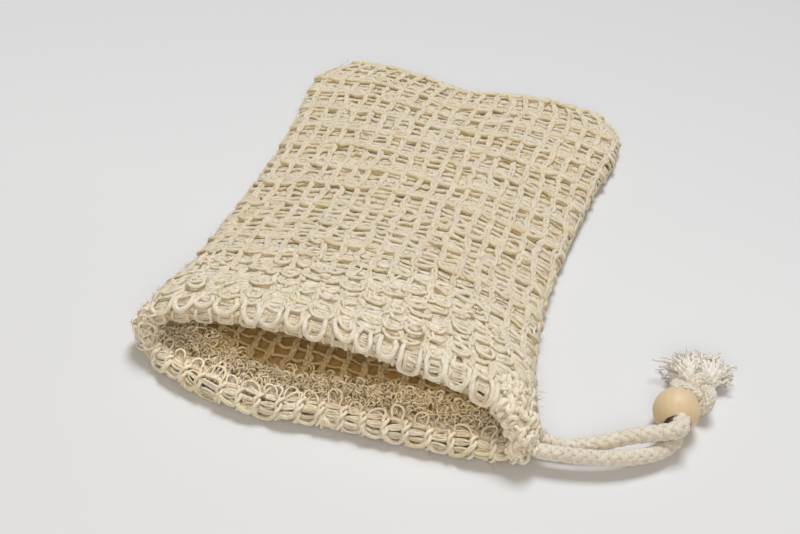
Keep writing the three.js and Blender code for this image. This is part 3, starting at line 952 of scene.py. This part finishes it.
# The drawstring's way, as its solid has it
BEAD_AT = np.array([75.4, 24, 5.4])
BEAD_TURN = 0.2
BEAD_SIZE = 10.8
BEAD_HOLE = 6.0
# The cord's places in the bead, as on_hole has them, and on its way to the hem
FRONT_IN_BEAD = (-4.5, -1.35), (0, -1.4), (2.5, -1.55), (4.6, -1.95)
BACK_IN_BEAD = (4.6, 1.95, 0.5), (2.5, 1.3, 0.6), (0, 1.4, 0.3), (-4.5, 1.35)
FRONT_STRAND = [
    [76.4, 17.2, 3.3], [74.9, 14.2, 3.1], [72.3, 11.4, 3.3], [68.9, 9, 3.6], [63.6, 6.3, 4.1],
    [58.2, 4.6, 4.5], [52.7, 3.4, 4.7], [47.3, 2.9, 4.5], [42, 3.9, 3.5],
]
BACK_STRAND = [
    [41.2, 6.2, 10.2], [44.8, 6.6, 7.6], [47.2, 6.9, 4.9], [49.6, 7, 3.3], [52.4, 7.3, 2.7],
    [57.3, 8.7, 3.4], [62, 10.7, 4.4], [66.2, 12.8, 5.2], [71.3, 14.5, 6.4], [75.1, 15.9, 7.1],
    [76.9, 17.4, 7.3],
]
# In the hem, it goes from one to another of so many places around the mouth
HEM_PLACES = 80
IN_LOWER_HEM = [42, 45, 49, 53, 57, 61, 65, 69, 72, 74.5, 76, 77, 78, 79]
IN_UPPER_HEM = [0, 1, 2, 3.5, 6, 9, 13, 17, 21, 25, 29, 32]
CORD_DEPTH = 5.0
OUT_OF_HEM = 47.5  # across from the mouth's middle


def on_hole(before, above=0.0, aside=0.0):
    """A place in the line of the bead's hole: before its centre, above it and aside."""
    along = np.array([math.sin(BEAD_TURN), -math.cos(BEAD_TURN), 0])
    across = np.array([math.cos(BEAD_TURN), math.sin(BEAD_TURN), 0])
    return BEAD_AT + along * before + across * aside + np.array([0, 0, above])


def spline(points, step=0.42):
    """A centripetal Catmull-Rom curve through points, as places a step apart."""
    p = np.array(points, float)
    p = np.vstack([2 * p[0] - p[1], p, 2 * p[-1] - p[-2]])
    t = np.linspace(0, 1, 25)[:-1, None]
    parts = []
    for a, b, c, d in zip(p, p[1:], p[2:], p[3:]):
        ab, bc, cd = (math.sqrt(max(np.linalg.norm(x), 1e-6)) for x in (b - a, c - b, d - c))
        start = ((b - a) / ab - (c - a) / (ab + bc) + (c - b) / bc) * bc
        end = ((c - b) / bc - (d - b) / (bc + cd) + (d - c) / cd) * bc
        parts.append(
            b + start * t + (-3 * b + 3 * c - 2 * start - end) * t**2
            + (2 * b - 2 * c + start + end) * t**3
        )
    line = np.vstack(parts + [p[-2][None]])
    way = way_along(line)
    return on_line(line, way, np.linspace(0, way[-1], int(way[-1] / step) + 2))


def carried_along(points):
    """Two directions square to a line, carried along it without twist."""
    tangent = unit(np.gradient(points, axis=0))
    normal = np.zeros_like(points)
    last = np.array([0.0, 0.0, 1.0])
    for i, forward in enumerate(tangent):
        last = last - forward * (last @ forward)
        last = last / np.linalg.norm(last)
        normal[i] = last
    return np.stack([normal, np.cross(tangent, normal)])


# The cord's flat strands lie this far out from its middle, and so much further on top
BRAID_OUT = 1.22
BRAID_RISE = 0.1


def braid(
    strands, points, frames, travelled, size, sides=6, each_way=4, pitch=10.0, yarn=0.8, tint=0.8
):
    """Flat strands round a core, as many each way, over and under one another."""
    normal, side = frames
    turn = math.tau * travelled / pitch
    for way in (1, -1):
        for i in range(each_way):
            angle = (way * turn + i * math.tau / each_way)[:, None]
            over = way * np.cos(each_way * turn)
            radial = normal * np.cos(angle) + side * np.sin(angle)
            line = points + radial * ((BRAID_OUT + BRAID_RISE * over) * size)[:, None]
            # painted shade where a strand goes under another one
            dark = np.clip(0.06 - 0.12 * over, 0, 1)[None]
            tints = tint + 0.08 * random.normal()
            strands.add(line[None], radial[None], yarn * size[None], tints, dark, 0.2, 0.55, sides)
    # the core, which shows only between the strands, has painted shade
    strands.add(points[None], normal[None], 1.1 * size[None], 0.6, 0.5, sides=6)


def drawstring():
    """Both free strands and the stretch in the hem, as three meshes of one braid."""
    around = np.arange(HEM_PLACES) / HEM_PLACES
    hem_line, hem_out, _ = on_surface(np.full(HEM_PLACES, CORD_DEPTH), around)
    hem_line = hem_line + hem_out * (CLOTH - HEM_THICKNESS) / 2
    in_hem = []
    for k in IN_LOWER_HEM + IN_UPPER_HEM:
        here, after = hem_line[int(k)], hem_line[math.ceil(k) % HEM_PLACES]
        in_hem.append(here + (after - here) * (k % 1))
    points = [on_hole(*at) for at in FRONT_IN_BEAD] + FRONT_STRAND + in_hem
    points += BACK_STRAND + [on_hole(*at) for at in BACK_IN_BEAD]
    line = spline(points)
    travelled = way_along(line)
    frames = carried_along(line)
    from_bead = np.linalg.norm(line - on_hole(0), axis=1)
    size = np.interp(from_bead, [1.5, 3.4, 6.5, 9, 14], [0.76, 1.08, 1.24, 1.18, 1.1])
    free = line[:, 0] > OUT_OF_HEM
    first = int(np.argmin(free))
    last = len(line) - int(np.argmin(free[::-1]))
    parts = (
        ("strand_front", slice(0, first + 1), 6),
        ("strand_in_hem", slice(first, last + 1, 2), 3),
        ("strand_back", slice(last - 1, len(line)), 6),
    )
    pieces = {}
    for name, part, sides in parts:
        strands = Strands()
        braid(strands, line[part], frames[:, part], travelled[part], size[part], sides)
        piece = strands.build(name, cotton, "cotton")
        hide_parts("drawstring")
        pieces[name] = piece, in_model(line[part])
    return pieces


# The bead, turned from pale wood
def wood_material():
    m = Nodes("bead_wood")
    place_3d = m.add("TexCoord").outputs["Object"]
    grain = m.add("Mapping", {"Vector": place_3d, "Rotation": (0.3, 0.5, BEAD_TURN)}).outputs[0]
    values = {"Vector": grain, "Scale": 190.0, "Distortion": 3.5, "Detail": 3.0}
    rings = m.add("TexWave", values, wave_type="BANDS")
    stretched = m.add("Mapping", {"Vector": grain, "Scale": (2600, 350, 2600)})
    pores = m.add("TexNoise", {"Vector": stretched.outputs[0], "Scale": 1.0, "Detail": 4.0})
    base = m.ramp(rings.outputs["Fac"], (0.0, (0.81, 0.62, 0.375)), (1.0, (0.83, 0.645, 0.4)))
    fine = m.ramp(pores.outputs["Fac"], (0.3, (0.94, 0.92, 0.88)), (0.6, (1, 1, 1)))
    bump = m.add("Bump", {"Height": pores.outputs["Fac"], "Strength": 0.5, "Distance": 0.00006})
    m.set(Base_Color=m.mix(0.7, base, fine, "MULTIPLY"), Roughness=0.5, Normal=bump.outputs[0])
    m.set(Coat_Weight=0.06, Coat_Roughness=0.4)
    return m.material


def bead():
    radius, hole, edge = BEAD_SIZE / 2, BEAD_HOLE / 2, 0.35
    rim = math.acos((hole + edge) / radius)
    wall = radius * math.sin(rim) - edge
    angles = np.linspace(-rim, rim, 33)
    profile = list(zip(radius * np.cos(angles), radius * np.sin(angles)))
    corner = np.linspace(0, math.pi / 2, 6)[1:]
    profile += [(hole + edge - edge * math.sin(a), wall + edge * math.cos(a)) for a in corner]
    profile += [(hole, y) for y in np.linspace(wall, -wall, 7)[1:]]
    profile += [(hole + edge - edge * math.cos(a), -wall - edge * math.sin(a)) for a in corner[:-1]]
    profile = np.array(profile)
    n, around = len(profile), 72
    turn = np.arange(around) * math.tau / around
    x, y = turned(profile[:, :1] * np.cos(turn), profile[:, 1:] + 0 * turn, BEAD_TURN)
    z = profile[:, :1] * np.sin(turn)
    points = np.stack([x, y, z], -1).reshape(-1, 3) + BEAD_AT
    index = np.arange(n * around).reshape(n, around)
    after, beside = np.roll(index, -1, 0), np.roll(index, -1, 1)
    quads = np.stack([index, after, np.roll(after, -1, 1), beside], -1).reshape(-1, 4)
    mesh = bpy.data.meshes.new("bead_turned")
    mesh.from_pydata(in_model(points).tolist(), [], quads.tolist())
    piece = as_piece("bead_turned", mesh, wood_material())
    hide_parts("bead")
    return piece


# The knot behind the bead, and the ends that are frayed into kinked plies
KNOT = {"at": np.array([79.5, 32.2, 4.1]), "width": 4, "depth": 4, "height": 2.1, "turn": 0.53}
FRAYED_ENDS = (
    {"at": np.array([77.3, 36.6, 3.3]), "towards": 2.0, "fan": 0.85},
    {"at": np.array([81.3, 37, 3.1]), "towards": 1.42, "fan": 0.62},
)
STRAND = {"length": 11.8, "lift": 0.6, "droop": 0.09}
PLIES = (
    {"n": 72, "kink": 0.24, "yarn": 0.46, "reach": 0.8, "sides": 5, "places": 17},
    {"n": 50, "kink": 0.16, "yarn": 0.62, "reach": 0.62, "sides": 5, "places": 9},
    {"n": 90, "kink": 0.34, "yarn": 0.16, "reach": 0.78, "sides": 3, "places": 12},
)


def knot_line():
    t = np.linspace(0, math.tau, 150) - 0.4
    x = KNOT["width"] * (np.sin(t) + 2 * np.sin(2 * t)) / 3
    y = KNOT["depth"] * (np.cos(t) - 2 * np.cos(2 * t)) / 3
    z = -KNOT["height"] * np.sin(3 * t)
    return np.stack([*turned(x, y, KNOT["turn"]), z], 1) + KNOT["at"]


def add_braid(strands, line, size=1.0):
    size = size * np.ones(len(line))
    braid(strands, line, carried_along(line), way_along(line), size, 5, 7, 8.0, 0.5, 0.4)


def knot():
    strands = Strands()
    middle = KNOT["at"]
    add_braid(strands, knot_line())
    for above in (-1.2, 1.2):
        neck = [on_hole(-3.0, above), on_hole(-5.5, above), on_hole(-7.5, above * 0.8), middle]
        add_braid(strands, spline(neck), 0.8)
    for end in FRAYED_ENDS:
        add_braid(strands, spline([middle, (middle + end["at"]) / 2, end["at"]]))
    return strands


def plies(strands, n, kink, yarn, reach, sides, places):
    """Frayed strands: each leaves its cord's end in its own direction, droops and curls."""
    for end in FRAYED_ENDS:
        i = np.arange(n)[:, None]
        even = (i + 0.5) / n
        golden = (0.618034 * i) % 1
        heading = varied(n, end["towards"] + end["fan"] * (2 * golden - 1), 0.15)
        rise = varied(n, STRAND["lift"] * (1.5 * even - 0.35), 0.1)
        reach_of = 0.44 + 0.46 * np.sin(heading) + 0.1 * np.cos(5.1 * i)
        length = STRAND["length"] * reach_of * reach * random.uniform(0.75, 1.05, (n, 1))
        t = np.linspace(0, 1, places)
        away = length * t
        side = np.stack([-np.sin(heading), np.cos(heading), 0 * heading], -1)
        forward = np.stack([np.cos(heading), np.sin(heading), 0 * heading], -1)
        wave = random.uniform(1.5, 2.6, (n, 1))
        phase = random.uniform(0, math.tau, (n, 1))
        swing = kink * np.minimum(away / 1.5, 1)
        sideways = swing * np.sin(math.tau * away / wave + phase)
        sideways = sideways + 0.06 * away**2 * varied(n, 0, 1) / 2
        height = rise * away - STRAND["droop"] * away**2 * 0.5
        height = height + swing * np.cos(math.tau * away / wave * 0.9 + phase)
        spread = np.sqrt(random.random((n, 1)))
        base_turn = random.uniform(0, math.tau, (n, 1))
        points = end["at"] + forward * away[..., None] + side * sideways[..., None]
        points = points + side * (spread * np.cos(base_turn))[..., None]
        points[..., 2] += height + spread * np.sin(base_turn)
        points[..., 2] = np.maximum(points[..., 2], yarn)
        radius = yarn * (1 - 0.35 * t**3) * random.uniform(0.8, 1.15, (n, 1))
        upward = np.array([0.0, 0.0, 1.0]) + 0 * points
        strands.add(points, upward, radius, varied(n, -0.05, 0.08), sides=sides)


def tuft():
    strands = Strands()
    for kind in PLIES:
        plies(strands, **kind)
    return strands


cords = drawstring()
bead_turned = bead()
knot_braid = knot().build("knot_braid", cotton, "cotton")
knot_tuft = tuft().build("knot_tuft", cotton, "cotton")
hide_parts("knot")

for name, exit_end, on_it in (
    ("strand_front", -1, [bead_turned, knot_braid, knot_tuft]),
    ("strand_back", 0, []),
):
    piece, points = cords[name]
    tuple(points[exit_end])
    round(float(way_along(points)[-1]), 4)
    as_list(on_it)

# The photograph's camera: degrees of turn, tilt and roll, millimetres to LOOK_AT, and lens
CAMERA = {"azimuth": 14.4, "elevation": 42.6, "roll": 3.5, "distance": 344.0, "lens": 59.7}
LOOK_AT = np.array([0.0, 55.0, 0.0])


def add_camera():
    azimuth, elevation, roll = (math.radians(CAMERA[k]) for k in ("azimuth", "elevation", "roll"))
    forward = Vector((-math.sin(azimuth), math.cos(azimuth), 0)) * math.cos(elevation)
    forward.z = -math.sin(elevation)
    right = Vector((math.cos(azimuth), math.sin(azimuth), 0))
    up = right.cross(forward)
    up, right = turned(up, right, roll)
    turn = Matrix((right, up, -forward)).transposed().to_4x4()
    target = Vector(in_model(LOOK_AT))
    camera = bpy.data.objects.new("camera", bpy.data.cameras.new("camera"))
    camera.data.lens = CAMERA["lens"]
    camera.data.clip_start = 0.01
    camera.matrix_world = Matrix.Translation(target - forward * CAMERA["distance"] * MM) @ turn
    link(camera)
    bpy.context.scene.camera = camera


def add_floor():
    """A wide plain floor, with painted shade that makes it a little darker towards the back."""
    mesh = bpy.data.meshes.new("floor")
    half = 3.0
    corners = [(-half, -half, 0), (half, -half, 0), (half, half, 0), (-half, half, 0)]
    mesh.from_pydata(corners, [], [(0, 1, 2, 3)])
    m = Nodes("floor")
    away = m.add("SeparateXYZ", {0: m.add("TexCoord").outputs["Object"]}).outputs["Y"]
    share = m.add("MapRange", {"Value": away, "From Min": 0.0, "From Max": 0.25}).outputs[0]
    # painted shade that darkens the floor towards the back
    colour = m.ramp(share, (0.0, (0.8, 0.8, 0.8)), (1.0, (0.63, 0.63, 0.63)))
    m.set(Base_Color=colour, Roughness=0.9, Specular_IOR_Level=0.1)
    mesh.materials.append(m.material)
    floor = bpy.data.objects.new("floor", mesh)
    link(floor)
    floor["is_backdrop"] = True


def add_light(name, at, size, power, colour):
    """A lamp that shines down."""
    data = bpy.data.lights.new(name, "AREA")
    data.shape = "DISK"
    data.size = size
    data.energy = power
    data.color = colour
    lamp = bpy.data.objects.new(name, data)
    lamp.location = at
    link(lamp)
    return lamp


def aim(lamp):
    """Turns a lamp to the middle of the floor, where the pouch lies."""
    lamp.rotation_euler = (-lamp.location).to_track_quat("-Z", "Y").to_euler()


def add_glow():
    """The warm light inside the pouch that has come through the knit above it."""
    lamp = add_light("glow", in_model([-2.0, 9.0, 10.4]), 0.074, 0.0025, (1.0, 0.84, 0.66))
    lamp.data.shape = "RECTANGLE"
    lamp.data.size_y = 0.018
    lamp.visible_camera = False


def add_world():
    world = bpy.data.worlds.new("world")
    world.use_nodes = True
    background = world.node_tree.nodes["Background"]
    background.inputs["Color"].default_value = (1.0, 0.91, 0.8, 1)
    background.inputs["Strength"].default_value = 0.25
    bpy.context.scene.world = world


add_camera()
add_floor()
add_world()
aim(add_light("key", (0.02, 0.38, 1.0), 0.42, 7.3, (0.95, 1.0, 1.06)))
add_glow()
aim(add_light("front", (0.12, -0.56, 0.46), 0.5, 1.5, (1.0, 0.94, 0.86)))
bpy.context.scene.view_settings.view_transform = "Standard"

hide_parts("pouch")

boxes = {"cad": cad_box, "visual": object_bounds()}
{k: [list(c) for c in v] for k, v in boxes.items()}
